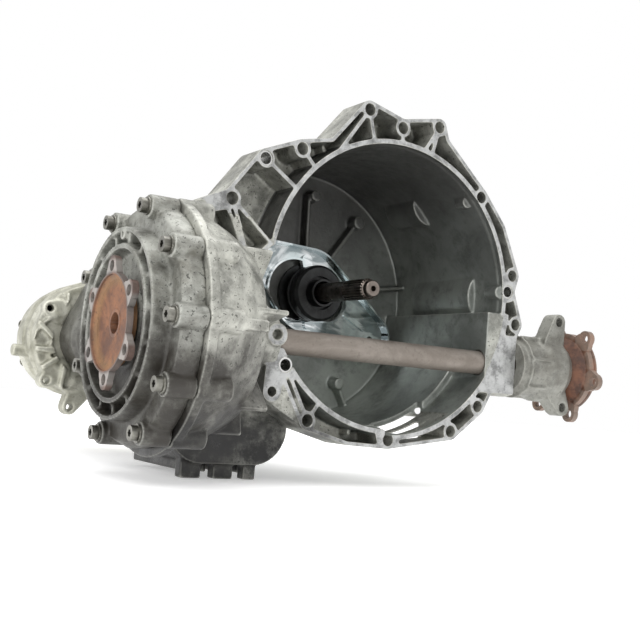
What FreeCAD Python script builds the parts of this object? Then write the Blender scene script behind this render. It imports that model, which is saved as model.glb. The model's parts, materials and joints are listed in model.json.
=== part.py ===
import FreeCAD, Part
import math
import os
import Sketcher

# Frame: origin at the centre of the bell's mouth on the engine face, +X right, +Y from the
# engine towards the gearbox, +Z up. Millimetres and degrees.

DIMENSIONS = {
    # clutch bell
    "bell_radius": 150.0, "bell_wall": 5.0, "bell_back_radius": 147.0, "bell_depth": 195.0,
    "side_step": 6.0, "shelf_z": -12.0,
    "back_wall": 12.0, "boss_radius": 9.5, "bolt_hole_radius": 6.5, "dowel_hole_radius": 7.6,
    "flange_wall": 3.8, "flange_depth": 44.0, "pocket_depth": 36.0, "rib_width": 3.8,
    # differential bowl and cover, measured along -X
    "drive_axis_y": 15.2, "drive_axis_z": -69.2,
    "cover_seat_x": -262.0, "cover_plate_x": -283.0, "cover_ring_x": -301.0,
    "cover_bolt_circle": 110.0, "cover_bolt_radius": 4.0,
    "cover_boss_radius": 11.0, "outer_ring_radius": 88.0, "lip_ring_radius": 73.0, "ring_wall": 5.0,
    # input shaft on the Y axis
    "input_tip_y": 40.0, "input_tip_radius": 9.0, "spline_radius": 11.5, "spline_root_radius": 10.2,
    "spline_end_y": 86.0, "shaft_neck_radius": 11.0, "input_journal_radius": 17.0,
    # gear train
    "shaft_distance": 80.0, "output_x": -64.0, "output_z": -48.0, "gear_module": 2.5,
    "gear_width": 13.0, "gear_gap": 26.0, "first_gear_y": 230.0, "group_space": 3.0,
    "output_radius": 20.0, "gear_play": 0.3, "backlash": 0.3,
    "hub_radius": 31.2, "sleeve_bore": 31.5, "sleeve_radius": 38.0, "sleeve_width": 14.0,
    "groove_radius": 34.0, "groove_width": 7.0, "dog_radius": 30.0, "hub_width": 12.0,
    "rail_radius": 6.0, "rail_circle": 76.0, "fork_thickness": 6.4,
    "transfer_module": 3.0, "transfer_width": 20.0, "transfer_y": 436.0,
    # final drive
    "pinion_radius": 26.0, "pinion_face": 24.0, "side_shaft_radius": 18.0,
    # casings behind the bell
    "case_wall": 7.0, "case_end_y": 420.0, "rear_end_y": 496.0, "rear_wall": 10.0,
    "bearing_width": 16.0, "bearing_play": 0.05,
    # clutch release
    "sleeve_guide_radius": 16.0, "guide_front_y": 140.0, "release_front_y": 148.0,
    "release_radius": 33.0, "lever_front_y": 173.0, "lever_sheet": 3.0, "lever_rim": 9.0,
    "pivot_x": -68.0, "pivot_z": 29.0,
    # drive flanges
    "flange_bolt_radius": 52.0, "flange_hole_radius": 5.2, "flange_lobe_radius": 9.5,
    "flange_thickness": 6.0, "dish_radius": 44.0, "left_flange_x": -306.0, "right_flange_x": 262.0,
    "tube_radius": 13.0, "bracket_seat_x": 175.0, "bracket_end_x": 250.0,
}

# Tooth counts: input gear and its loose gear on the output shaft, first to sixth gear
PAIRS = [(16, 48), (21, 43), (27, 37), (31, 33), (35, 29), (38, 26)]
REVERSE_TEETH = (16, 18, 36)
TRANSFER_TEETH = (40, 37)
FINAL_TEETH = (11, 36)
DIFFERENTIAL_TEETH = (10, 16)
PRESSURE_ANGLE = math.radians(20.0)
GEAR_NAMES = ["first", "second", "third", "fourth", "fifth", "sixth"]
GROUP_NAMES = ["12", "34", "56", "reverse"]

# Engine bolt pattern: (x, z) of each boss round the mouth
BOSSES = [
    (-198.5, 60.8), (-165.3, 105.8), (-125.1, 123.0), (-48.0, 179.1), (-4.3, 168.6), (44.1, 179.1),
    (109.0, 113.3), (162.3, 32.1), (157.2, 13.2), (171.7, -22.8), (123.5, -118.5), (87.6, -147.9),
    (4.7, -160.8), (-95.7, -145.8), (-125.3, -92.9),
]
DOWEL_BOSSES = [1, 8, 14]
# Angles of the cover bolts about the drive axis, from +Z towards the engine
COVER_BOLT_ANGLES = [16.9, 53.6, 87.2, 118.4, 150.8, 202.5, 249.0, 296.0, 332.8]

X_AXIS = FreeCAD.Vector(1, 0, 0)
Y_AXIS = FreeCAD.Vector(0, 1, 0)
Z_AXIS = FreeCAD.Vector(0, 0, 1)

doc = FreeCAD.newDocument("manual_transmission")
sheet = doc.addObject("Spreadsheet::Sheet", "sizes")
sheet.set("A1", "name")
sheet.set("B1", "value")
for row, (alias, number) in enumerate(DIMENSIONS.items(), start=2):
    sheet.set("A%d" % row, alias)
    sheet.set("B%d" % row, str(number))
    sheet.setAlias("B%d" % row, alias)
doc.recompute()

nodes = {}


def size(alias):
    """Value of one cell of the sheet."""
    return float(sheet.get(alias))


class Length:
    """A length with the sheet formula that gives it."""

    def __init__(self, number, formula):
        self.number = number
        self.formula = formula

    def __add__(self, other):
        other = as_length(other)
        return Length(self.number + other.number, "(%s + %s)" % (self.formula, other.formula))

    def __sub__(self, other):
        other = as_length(other)
        return Length(self.number - other.number, "(%s - %s)" % (self.formula, other.formula))


def as_length(item):
    return item if isinstance(item, Length) else Length(float(item), "%g" % item)


def cell(alias):
    """Length bound to one cell of the sheet."""
    return Length(size(alias), "sizes.%s" % alias)


# ---------------------------------------------------------------- document objects

def origin_plane(body, role):
    for feature in body.Origin.OriginFeatures:
        if feature.Role == role:
            return feature


def add_profile(sketch, corners):
    """Closed outline through (along, radius) corners, each bound to its formula."""
    count = len(corners)
    for index in range(count):
        start = corners[index]
        end = corners[(index + 1) % count]
        sketch.addGeometry(Part.LineSegment(
            FreeCAD.Vector(start[0].number, start[1].number, 0),
            FreeCAD.Vector(end[0].number, end[1].number, 0)), False)
    for index in range(count):
        sketch.addConstraint(Sketcher.Constraint("Coincident", index, 2, (index + 1) % count, 1))
    for index, (along, radius) in enumerate(corners):
        for kind, length, axis in (("DistanceX", along, -2), ("DistanceY", radius, -1)):
            if length.number == 0:
                sketch.addConstraint(Sketcher.Constraint("PointOnObject", index, 1, axis))
            else:
                name = "%s_%d" % (kind, index)
                sketch.addConstraint(Sketcher.Constraint(kind, -1, 1, index, 1, length.number))
                sketch.renameConstraint(sketch.ConstraintCount - 1, name)
                sketch.setExpression("Constraints." + name, length.formula)


def turned_body(label, direction, start, corners):
    """A body of revolution along X or Y, from (along, radius) corners measured from start."""
    body = doc.addObject("PartDesign::Body", label)
    body.Label = label
    sketch = body.newObject("Sketcher::SketchObject", label + "_profile")
    sketch.AttachmentSupport = [(origin_plane(body, "XY_Plane"), "")]
    sketch.MapMode = "FlatFace"
    add_profile(sketch, [(as_length(along), as_length(radius)) for along, radius in corners])
    turn = body.newObject("PartDesign::Revolution", label + "_turned")
    turn.Profile = sketch
    turn.ReferenceAxis = (sketch, ["H_Axis"])
    turn.Angle = 360.0
    angle = 90.0 if direction == "Y" else 0.0
    rotation = FreeCAD.Rotation(Z_AXIS, angle)
    body.Placement = FreeCAD.Placement(FreeCAD.Vector(*start), rotation)
    nodes[label] = body
    return body


def ring_body(label, direction, start, length, outer, inner):
    """A plain ring such as a bearing, seal or sleeve."""
    return turned_body(label, direction, start, [(0, inner), (length, inner), (length, outer), (0, outer)])


def shaped(label, shape):
    """A node whose solids are built with Part's own functions."""
    feature = doc.addObject("Part::Feature", label)
    feature.Label = label
    feature.Shape = shape
    feature.Placement = shape.Placement
    nodes[label] = feature
    return feature


def grouped(label, members):
    """One node that holds several like pieces as separate solids."""
    group = doc.addObject("Part::Compound", label)
    group.Label = label
    group.Links = [nodes.pop(member) for member in members]
    nodes[label] = group


# ---------------------------------------------------------------- solids

def box(low, high):
    spans = [high[i] - low[i] for i in range(3)]
    return Part.makeBox(spans[0], spans[1], spans[2], FreeCAD.Vector(*low))


def rod(radius, length, base, direction=Y_AXIS):
    return Part.makeCylinder(radius, length, FreeCAD.Vector(*base), direction)


def disc(x, z, radius):
    circle = Part.Circle(FreeCAD.Vector(x, 0, z), Y_AXIS, radius)
    return Part.Face(Part.Wire(circle.toShape()))


def link(start, start_radius, end, end_radius):
    """Face in the XZ plane that wraps two circles like a belt."""
    first = FreeCAD.Vector(start[0], 0, start[1])
    second = FreeCAD.Vector(end[0], 0, end[1])
    span = second - first
    along = FreeCAD.Vector(span).normalize()
    across = FreeCAD.Vector(-along.z, 0, along.x)
    lean = (start_radius - end_radius) / span.Length
    rise = math.sqrt(1.0 - lean * lean)
    upper = along * lean + across * rise
    lower = along * lean - across * rise
    edges = [
        Part.LineSegment(first + upper * start_radius, second + upper * end_radius),
        Part.Arc(second + upper * end_radius, second + along * end_radius, second + lower * end_radius),
        Part.LineSegment(second + lower * end_radius, first + lower * start_radius),
        Part.Arc(first + lower * start_radius, first - along * start_radius, first + upper * start_radius),
    ]
    return Part.Face(Part.Wire([edge.toShape() for edge in edges]))


def polygon(points):
    corners = [FreeCAD.Vector(x, 0, z) for x, z in points]
    return Part.Face(Part.makePolygon(corners + corners[:1]))


def slab(face, low_y, high_y):
    """The face pulled along Y."""
    moved = face.copy()
    moved.translate(FreeCAD.Vector(0, low_y, 0))
    return moved.extrude(FreeCAD.Vector(0, high_y - low_y, 0))


def joined(shapes):
    return shapes[0].multiFuse(shapes[1:]).removeSplitter()


def turned(axis_point, direction, corners):
    """Solid of revolution along X or Y; corners are (along, radius) in the frame."""
    points = []
    for along, radius in corners:
        if direction == "X":
            points.append(FreeCAD.Vector(along, axis_point[1], axis_point[2] + radius))
        else:
            points.append(FreeCAD.Vector(axis_point[0], along, axis_point[2] + radius))
    face = Part.Face(Part.makePolygon(points + points[:1]))
    axis = X_AXIS if direction == "X" else Y_AXIS
    return face.revolve(FreeCAD.Vector(*axis_point), axis, 360)


def on_drive_circle(radius, degrees):
    """(y, z) of a point round the drive axis, angle from +Z towards the engine."""
    angle = math.radians(degrees)
    y = size("drive_axis_y") - radius * math.sin(angle)
    z = size("drive_axis_z") + radius * math.cos(angle)
    return y, z


DRIVE_AXIS = (0.0, size("drive_axis_y"), size("drive_axis_z"))
OUTPUT_AXIS = (size("output_x"), 0.0, size("output_z"))
TRANSFER_DISTANCE = size("transfer_module") * sum(TRANSFER_TEETH) / 2.0
SIDE_AXIS = (
    size("output_x") - math.sqrt(TRANSFER_DISTANCE ** 2 - (size("output_z") - size("drive_axis_z")) ** 2),
    0.0,
    size("drive_axis_z"),
)

# ---------------------------------------------------------------- gears


def involute(angle):
    return math.tan(angle) - angle


def tooth_half_angle(teeth, pitch_radius, radius, play):
    """Half the tooth's angle at a radius, for an involute flank."""
    base_radius = pitch_radius * math.cos(PRESSURE_ANGLE)
    local = math.acos(min(1.0, base_radius / radius))
    half = math.pi / (2 * teeth) + involute(PRESSURE_ANGLE) - involute(local)
    return half - play / (2 * pitch_radius)


def gear_face(teeth, module, phase):
    """Toothed outline in the XZ plane about the origin; phase is one tooth's direction."""
    pitch_radius = teeth * module / 2.0
    tip_radius = pitch_radius + 0.8 * module
    root_radius = pitch_radius - 1.05 * module
    tip_half = tooth_half_angle(teeth, pitch_radius, tip_radius, size("backlash"))
    flank_radius = max(root_radius, pitch_radius * 0.94)
    root_half = tooth_half_angle(teeth, pitch_radius, flank_radius, size("backlash"))
    points = []
    for index in range(teeth):
        centre = phase + 2 * math.pi * index / teeth
        for radius, half in ((root_radius, -root_half), (tip_radius, -tip_half),
                             (tip_radius, tip_half), (root_radius, root_half)):
            points.append((radius * math.cos(centre + half), radius * math.sin(centre + half)))
    return polygon(points)


def spur_gear(teeth, module, phase, centre, low_y, width):
    solid = slab(gear_face(teeth, module, phase), low_y, low_y + width)
    solid.translate(FreeCAD.Vector(centre[0], 0, centre[2]))
    return solid


def direction_to(start, end):
    return math.atan2(end[2] - start[2], end[0] - start[0])


def meshed_phase(phase, teeth, direction, other_teeth):
    """Phase of the gear that meshes with one whose phase is given, seen along direction."""
    return direction + math.pi - (phase - direction) * teeth / other_teeth + math.pi / other_teeth


def bevel_gap(teeth, pitch_radius, cone_angle, play):
    """Cutter for one gap between bevel teeth: axis +Z, apex at the origin, at angle zero."""
    module = 2.0 * pitch_radius / teeth
    virtual_radius = pitch_radius / math.cos(cone_angle)
    virtual_teeth = teeth / math.cos(cone_angle)
    cone_length = pitch_radius / math.sin(cone_angle)
    pitch_point = FreeCAD.Vector(pitch_radius, 0, cone_length * math.cos(cone_angle))
    outward = FreeCAD.Vector(math.cos(cone_angle), 0, -math.sin(cone_angle))
    widths = []
    for height in (-0.9 * module, 0.6 * module):
        radius = virtual_radius + height
        flank_radius = max(radius, virtual_radius * math.cos(PRESSURE_ANGLE))
        half = math.pi / virtual_teeth - tooth_half_angle(virtual_teeth, virtual_radius, flank_radius, play)
        widths.append((height, radius * math.sin(half)))
    (low, low_width), (high, high_width) = widths
    top = high + module
    top_width = high_width + (high_width - low_width) * module / (high - low)
    corners = []
    for height, across in ((low, -low_width), (top, -top_width), (top, top_width), (low, low_width)):
        corners.append(pitch_point + outward * height + FreeCAD.Vector(0, across, 0))
    outer = [corner * 1.35 for corner in corners]
    inner = [corner * 0.45 for corner in corners]
    wires = [Part.makePolygon(outer + outer[:1]), Part.makePolygon(inner + inner[:1])]
    return Part.makeLoft(wires, True, True)


def bevel_gear(teeth, pitch_radius, cone_angle, face_width, play, phase, back_length):
    """Bevel gear with axis +Z and apex at the origin; phase is one tooth's direction."""
    module = 2.0 * pitch_radius / teeth
    cone_length = pitch_radius / math.sin(cone_angle)
    inner_scale = 1.0 - face_width / cone_length
    tip_x = pitch_radius + 0.6 * module * math.cos(cone_angle)
    tip_z = cone_length * math.cos(cone_angle) - 0.6 * module * math.sin(cone_angle)
    root_x = pitch_radius - 1.3 * module * math.cos(cone_angle)
    root_z = cone_length * math.cos(cone_angle) + 1.3 * module * math.sin(cone_angle)
    back_z = root_z + back_length
    outline = [
        (0, root_z * inner_scale), (root_x * inner_scale, root_z * inner_scale),
        (tip_x * inner_scale, tip_z * inner_scale), (tip_x, tip_z), (root_x, root_z),
        (root_x, back_z), (0, back_z),
    ]
    points = [FreeCAD.Vector(x, 0, z) for x, z in outline]
    blank = Part.Face(Part.makePolygon(points + points[:1])).revolve(FreeCAD.Vector(0, 0, 0), Z_AXIS, 360)
    gap = bevel_gap(teeth, pitch_radius, cone_angle, play)
    gaps = []
    for index in range(teeth):
        copy = gap.copy()
        turn = math.degrees(phase) + 360.0 * (index + 0.5) / teeth
        copy.rotate(FreeCAD.Vector(0, 0, 0), Z_AXIS, turn)
        gaps.append(copy)
    return blank.cut(gaps)


def aimed(shape, apex, axis, angle_reference):
    """Turns a shape made along +Z so that it points along axis, its +X along angle_reference."""
    rotation = FreeCAD.Rotation(angle_reference, axis.cross(angle_reference), axis, "ZXY")
    shape.Placement = FreeCAD.Placement(FreeCAD.Vector(*apex), rotation)
    return shape


# ---------------------------------------------------------------- clutch housing

BACK_Y = size("bell_depth") + size("back_wall")

# Ribs on the bell's back wall: direction from +X towards +Z, inner and outer end
BACK_RIBS = [(10.0, 55.0, 147.0), (55.0, 50.0, 118.0), (92.0, 55.0, 120.0), (128.0, 55.0, 146.0),
             (175.0, 55.0, 146.0), (250.0, 55.0, 140.0), (298.5, 117.0, 147.0), (335.0, 60.0, 146.0)]

# Bright raised boss beside the cross shaft
FRONT_BOSS = (-146.0, -65.0)
FRONT_BOSS_Y = -16.0

# Threaded boss at the lower left, and the two circles of the sump drum
LOWER_BOSS = (-138.7, -119.9)
SUMP = [(-186.0, -160.0), (-128.0, -158.0)]


def flange_outline(inset, low_y, high_y):
    """The engine flange's outline, pulled in by inset: belts from boss to boss and what they enclose."""
    radius = size("boss_radius")
    path = [(x, z, radius) for x, z in BOSSES]
    path.insert(14, (-45.0, -160.5, 8.0))
    path[13], path[14] = path[14], path[13]
    path.insert(7, (139.0, 83.0, 8.0))
    path.insert(6, (52.0, 164.0, 7.0))
    path.insert(3, (-88.0, 134.0, 7.0))
    path.append((-150.0, -60.0, 8.0))
    path.append((-170.0, 0.0, 8.0))
    slabs = [slab(polygon([(x, z) for x, z, _ in path]), low_y, high_y)]
    for index, (x, z, near) in enumerate(path):
        next_x, next_z, far = path[(index + 1) % len(path)]
        slabs.append(slab(link((x, z), near - inset, (next_x, next_z), far - inset), low_y, high_y))
    return joined(slabs)


def flange_ribs(low_y, high_y):
    """Walls that tie the bosses to the bell."""
    half = size("rib_width") / 2.0
    ring = size("bell_radius") + 3.0
    ribs = []
    for index in (1, 2, 3, 4, 5, 6, 9, 10, 11, 13):
        x, z = BOSSES[index]
        reach = ring / math.hypot(x, z)
        ribs.append(slab(link((x, z), half, (x * reach, z * reach), half), low_y, high_y))
    extra = [
        (BOSSES[0], (-176.0, 6.0)), (BOSSES[0], (-150.0, 22.0)), (BOSSES[4], (-10.0, 181.0)),
        (BOSSES[5], (26.0, 150.0)), (BOSSES[3], (-84.0, 126.0)), (BOSSES[13], BOSSES[14]),
    ]
    for start, end in extra:
        ribs.append(slab(link(start, half, end, half), low_y, high_y))
    ribs.append(slab(link(BOSSES[7], 9.5, BOSSES[8], 12.0), low_y, high_y))
    ribs.append(slab(link(BOSSES[12], 14.0, (4.0, -152.0), 16.0), low_y, high_y))
    return ribs


def lower_side(radius, low_y, high_y):
    """Sector of the bell below the shelf on the right, where the wall steps outward."""
    quarter = box((0.0, low_y, -170.0), (200.0, high_y, size("shelf_z")))
    return slab(disc(0, 0, radius), low_y, high_y).common(quarter)


def engine_flange():
    """Flange block with deep pockets between its outer wall and the bell."""
    depth = size("flange_depth")
    floor = size("pocket_depth")
    pockets = flange_outline(size("flange_wall"), -1.0, floor)
    ring = size("bell_radius") + size("bell_wall")
    keep = [slab(disc(0, 0, ring), -2.0, floor + 1.0)]
    keep.append(lower_side(ring + size("side_step"), -2.0, floor + 1.0))
    for x, z in BOSSES:
        keep.append(slab(disc(x, z, size("boss_radius")), -2.0, floor + 1.0))
    keep += flange_ribs(-2.0, floor + 1.0)
    pockets = pockets.cut(keep)
    return flange_outline(0.0, 0.0, depth).cut(pockets)


def barrel():
    """Bell wall behind the flange, with stiffening ribs along it and the back wall."""
    outer = size("bell_radius") + size("bell_wall")
    depth = size("bell_depth")
    back = depth + size("back_wall")
    shapes = [turned((0, 0, 0), "Y", [
        (0, 0), (0, outer), (depth - 8, outer - 1), (back, outer - 8), (back, 0)])]
    shapes.append(lower_side(outer + size("side_step"), 0.0, 60.0))
    for index in range(16):
        angle = math.radians(11.0 + 360.0 / 16 * index)
        start = ((outer - 30) * math.cos(angle), (outer - 30) * math.sin(angle))
        end = ((outer + 5) * math.cos(angle), (outer + 5) * math.sin(angle))
        shapes.append(slab(link(start, 2.2, end, 2.2), 20.0, depth - 40))
    return shapes


def bell_space():
    """Everything that is open inside the bell."""
    depth = size("bell_depth")
    mouth = size("bell_radius")
    space = turned((0, 0, 0), "Y", [(-1, 0), (-1, mouth), (6, mouth), (8, mouth - 1.5),
                                    (depth, size("bell_back_radius")), (depth, 0)])
    pocket = slab(disc(-130.0, -8.0, 36.0), -1.0, depth)
    return space.fuse([pocket, lower_side(mouth + size("side_step"), -1.0, 56.0)])


def bell_pads():
    """Raised pads, seam and stubs on the inner wall and ribs on the back wall."""
    shapes = []
    for degrees, centre, radius, low, high in (
            (3.3, 170.0, 32.0, 46.0, 155.0), (46.0, 165.0, 27.0, 97.0, 155.0)):
        angle = math.radians(degrees)
        shapes.append(rod(radius, high - low, (centre * math.cos(angle), low, centre * math.sin(angle))))
    for degrees, low, high in ((4.5, 3.0, 24.0), (46.8, 14.0, 30.0)):
        angle = math.radians(degrees)
        shapes.append(rod(7.0, high - low, (149.0 * math.cos(angle), low, 149.0 * math.sin(angle))))
    depth = size("bell_depth")
    shapes.append(box((131.0, 0.6, -104.0), (165.0, depth + 1, size("shelf_z"))))
    for degrees, inner, outer in BACK_RIBS:
        angle = math.radians(degrees)
        start = (inner * math.cos(angle), inner * math.sin(angle))
        end = (outer * math.cos(angle), outer * math.sin(angle))
        shapes.append(slab(link(start, 3.0, end, 2.2), depth - 14, depth + 1))
    for x, z, radius in ((3.0, 120.0, 7.0), (68.0, 97.0, 8.0), (56.0, -103.0, 7.0)):
        shapes.append(slab(disc(x, z, radius), depth - 18, depth + 1))
    shapes.append(slab(disc(0.0, 0.0, 52.0), depth - 8, depth + 1))
    wall = slab(disc(0, 0, size("bell_radius") + 2), 0.0, depth + 2)
    return joined(shapes).common(wall.fuse(lower_side(size("bell_radius") + 8, 0.0, 58.0)))


def bowl():
    """Differential bowl, its bosses, ledge and the snout round the cross shaft."""
    seat = size("cover_seat_x")
    shapes = [turned(DRIVE_AXIS, "X", [
        (seat, 0), (seat, 120), (seat + 9, 120), (seat + 12, 113), (-226, 107), (-212, 101), (-191, 89),
        (-180, 69), (-172, 44), (-166, 30), (-138, 27), (-138, 0)])]
    for degrees in COVER_BOLT_ANGLES:
        y, z = on_drive_circle(size("cover_bolt_circle") + 1.0, degrees)
        shapes.append(rod(size("cover_boss_radius"), 34.0, (seat, y, z), X_AXIS))
    shapes.append(box((seat, -106.0, -70.0), (-206.0, -88.0, -60.0)))
    for degrees in (35.0, 78.0, 135.0, 168.0):
        rib = box((-214.0, -2.5, 60.0), (-172.0, 2.5, 97.0))
        rib.rotate(FreeCAD.Vector(0, 0, 0), X_AXIS, degrees)
        rib.translate(FreeCAD.Vector(0, DRIVE_AXIS[1], DRIVE_AXIS[2]))
        shapes.append(rib)
    return shapes


def bowl_space():
    seat = size("cover_seat_x")
    space = turned(DRIVE_AXIS, "X", [
        (seat - 1, 0), (seat - 1, 106), (seat + 12, 106), (-226, 100), (-212, 95), (-194, 83),
        (-187, 66), (-186, 32), (-170, 32), (-170, 17), (-137, 17), (-137, 0)])
    tunnel = rod(34.0, 150.0, (SIDE_AXIS[0], 70.0, SIDE_AXIS[2]))
    return space.fuse(tunnel)


def shell_links():
    """Arm to the bowl's top, the plate beside the lower bosses and the side shaft's tunnel."""
    return [
        slab(link(BOSSES[0], 9.5, (-233.0, 47.0), 7.0), 0.0, 26.0),
        slab(link((-233.0, 47.0), 7.0, (-252.0, 30.0), 7.0), -4.0, 26.0),
        slab(link((-136.9, -64.9), 9.0, LOWER_BOSS, 10.0), 0.0, 40.0),
        slab(link(LOWER_BOSS, 10.0, BOSSES[13], 8.0), 2.0, 40.0),
        slab(link(BOSSES[14], 9.5, LOWER_BOSS, 10.0), 1.0, 40.0),
        slab(link((-136.9, -64.9), 9.0, (-160.0, -20.0), 7.0), 3.0, 40.0),
        rod(41.0, 137.0, (SIDE_AXIS[0], 70.0, SIDE_AXIS[2])),
        slab(disc(-130.0, -8.0, 41.0), 0.0, size("bell_depth") + size("back_wall")),
        rod(36.0, size("bracket_seat_x") - 110.0, (110.0, DRIVE_AXIS[1], DRIVE_AXIS[2]), X_AXIS).cut(
            box((100.0, -60.0, -140.0), (180.0, 0.0, 0.0))),
    ]


def lower_parts():
    """Raised boss beside the cross shaft, web under the arm and finned sump."""
    shapes = [
        slab(disc(*FRONT_BOSS, 11.5), FRONT_BOSS_Y, 2.0),
        slab(link(SUMP[0], 36.0, SUMP[1], 38.0), 48.0, BACK_Y),
        slab(polygon([
            (-198.0, 60.0), (-240.0, 40.0), (-215.0, -25.0), (-160.0, -25.0), (-145.0, 30.0)]), 26.0, 44.0),
    ]
    for low, high in ((-204.0, -182.0), (-168.0, -146.0), (-134.0, -120.0)):
        shapes.append(box((low, 54.0, -211.0), (high, 68.0, -185.0)))
    for x in (-190.0, -170.0, -150.0, -130.0):
        shapes.append(box((x - 2.5, 72.0, -206.0), (x + 2.5, 204.0, -188.0)))
    return shapes


def make_clutch_housing():
    body = joined([engine_flange()] + barrel() + shell_links())
    body = body.cut(bell_space())
    body = joined([body, bell_pads()] + bowl() + lower_parts())
    depth = size("bell_depth")
    cuts = [bowl_space(), slab(disc(-130.0, -8.0, 36.0), 40.0, depth)]
    cuts.append(rod(size("tube_radius") + 0.7, 60.0, (120.0, DRIVE_AXIS[1], DRIVE_AXIS[2]), X_AXIS))
    cuts.append(rod(16.5, 36.0, (-139.0, DRIVE_AXIS[1], DRIVE_AXIS[2]), X_AXIS))
    cuts.append(slab(disc(0, 0, 159.0), 8.0, 66.0).common(box((26.0, 8.0, -180.0), (90.0, 66.0, -100.0))))
    cuts.append(box((30.0, 30.0, -160.0), (76.0, 46.0, -120.0)))
    cuts.append(rod(26.0, 30.0, (0, depth - 10, 0)))
    cuts.append(slab(link(SUMP[0], 29.0, SUMP[1], 31.0), 56.0, BACK_Y + 1.0))
    for index, (x, z) in enumerate(BOSSES):
        radius = size("dowel_hole_radius") if index in DOWEL_BOSSES else size("bolt_hole_radius")
        cuts.append(slab(disc(x, z, radius), -1.0, size("flange_depth") + 1))
    cuts.append(slab(disc(*FRONT_BOSS, 5.0), FRONT_BOSS_Y - 1.0, FRONT_BOSS_Y + 11.0))
    cuts.append(slab(disc(*LOWER_BOSS, 5.1), -1.0, 24.0))
    for degrees in COVER_BOLT_ANGLES:
        y, z = on_drive_circle(size("cover_bolt_circle"), degrees)
        cuts.append(rod(size("cover_bolt_radius"), 26.0, (size("cover_seat_x") - 1, y, z), X_AXIS))
    for cut in cuts:
        body = body.cut(cut)
    shaped("clutch_housing", body.removeSplitter())


# ---------------------------------------------------------------- casings behind the bell

CASE_PATH = [(0.0, 0.0, 63.0), (8.0, -44.0, 33.0), (-50.0, -104.0, 42.0), (-130.0, -104.0, 42.0),
             (SIDE_AXIS[0], SIDE_AXIS[2], 41.0), (-128.0, -20.0, 66.0), (-84.0, 8.0, 60.0)]
REAR_PATH = [(0.0, 0.0, 52.0), (-60.0, -86.0, 42.0), (-179.0, -71.0, 71.0), (-64.0, -28.0, 74.0)]
DRUM = REAR_PATH[2]
# Lugs round the transfer drum: hole and foot
DRUM_EARS = [
    ((-233.0, -34.0), (-220.0, -38.0)), ((-230.0, -126.0), (-216.0, -112.0)),
    ((-197.0, -158.0), (-184.0, -134.0)),
]
RAIL_ANGLES = [96.0, 110.0, 124.0, 138.0]


def belt(path, grow, low_y, high_y):
    """Slab inside a belt round the circles of a path."""
    slabs = [slab(polygon([(x, z) for x, z, _ in path]), low_y, high_y)]
    for index, (x, z, near) in enumerate(path):
        next_x, next_z, far = path[(index + 1) % len(path)]
        slabs.append(slab(link((x, z), near + grow, (next_x, next_z), far + grow), low_y, high_y))
    return joined(slabs)


def rim_point(circle, degrees, reach):
    """Point beyond a path circle's rim, at an angle about its centre."""
    x, z, radius = circle
    angle = math.radians(degrees)
    return x + (radius + reach) * math.cos(angle), z + (radius + reach) * math.sin(angle)


def rail_place(index):
    angle = math.radians(RAIL_ANGLES[index])
    x = OUTPUT_AXIS[0] + size("rail_circle") * math.cos(angle)
    z = OUTPUT_AXIS[2] + size("rail_circle") * math.sin(angle)
    return x, z


# Casing bolts: number of the path's circle and the angle about its centre
CASE_BOLT_ANGLES = [
    (0, 55.0), (0, 0.0), (1, -45.0), (2, -90.0), (3, -100.0), (4, 180.0), (5, 135.0), (6, 90.0),
]
REAR_BOLT_ANGLES = [
    (0, 60.0), (0, -15.0), (1, -80.0), (2, -100.0), (2, -150.0), (2, 165.0), (2, 115.0), (3, 100.0),
]
CASE_BOLTS = [rim_point(CASE_PATH[index], degrees, 9.5) for index, degrees in CASE_BOLT_ANGLES]
REAR_BOLTS = [rim_point(REAR_PATH[index], degrees, -7.5) for index, degrees in REAR_BOLT_ANGLES]


def make_gearbox_case():
    end = size("case_end_y")
    wall = size("case_wall")
    shapes = [belt(CASE_PATH, 0.0, BACK_Y, end), belt(CASE_PATH, 10.0, BACK_Y, BACK_Y + 9.0)]
    for y in (258.0, 309.0, 360.0):
        shapes.append(belt(CASE_PATH, 3.5, y, y + 6.0))
    for x, z in CASE_BOLTS:
        shapes.append(slab(disc(x, z, 10.0), BACK_Y, BACK_Y + 14.0))
    for x in (-140.0, -100.0, -60.0, -20.0):
        shapes.append(box((x - 2.5, BACK_Y + 26.0, -158.0), (x + 2.5, end - 20.0, -100.0)))
    shapes.append(rod(17.0, 64.0, (-90.0, 309.0, 20.0), Z_AXIS))
    shapes.append(rod(18.0, 20.0, (-80.0, 330.0, -150.0), Z_AXIS))
    shapes.append(rod(18.0, 16.0, (50.0, 311.0, 0.0), X_AXIS))
    body = joined(shapes)
    inside = belt(CASE_PATH, -wall, BACK_Y + 16.0, end + 1.0)
    cuts = [inside]
    for axis, radius in (((0.0, 0.0, 0.0), 31.0), (OUTPUT_AXIS, 31.0), (SIDE_AXIS, 34.0)):
        cuts.append(slab(disc(axis[0], axis[2], radius), BACK_Y - 1.0, BACK_Y + 17.0))
    for index in range(len(RAIL_ANGLES)):
        x, z = rail_place(index)
        cuts.append(slab(disc(x, z, size("rail_radius") + 0.05), BACK_Y - 1.0, BACK_Y + 17.0))
    for x, z in CASE_BOLTS:
        cuts.append(slab(disc(x, z, 4.0), BACK_Y - 1.0, BACK_Y + 15.0))
    cuts.append(rod(8.05, 90.0, (-90.0, 309.0, 10.0), Z_AXIS))
    cuts.append(rod(11.0, 40.0, (-80.0, 330.0, -170.0), Z_AXIS))
    cuts.append(rod(11.0, 40.0, (40.0, 311.0, 0.0), X_AXIS))
    shaped("gearbox_case", body.cut(cuts).removeSplitter())


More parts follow.
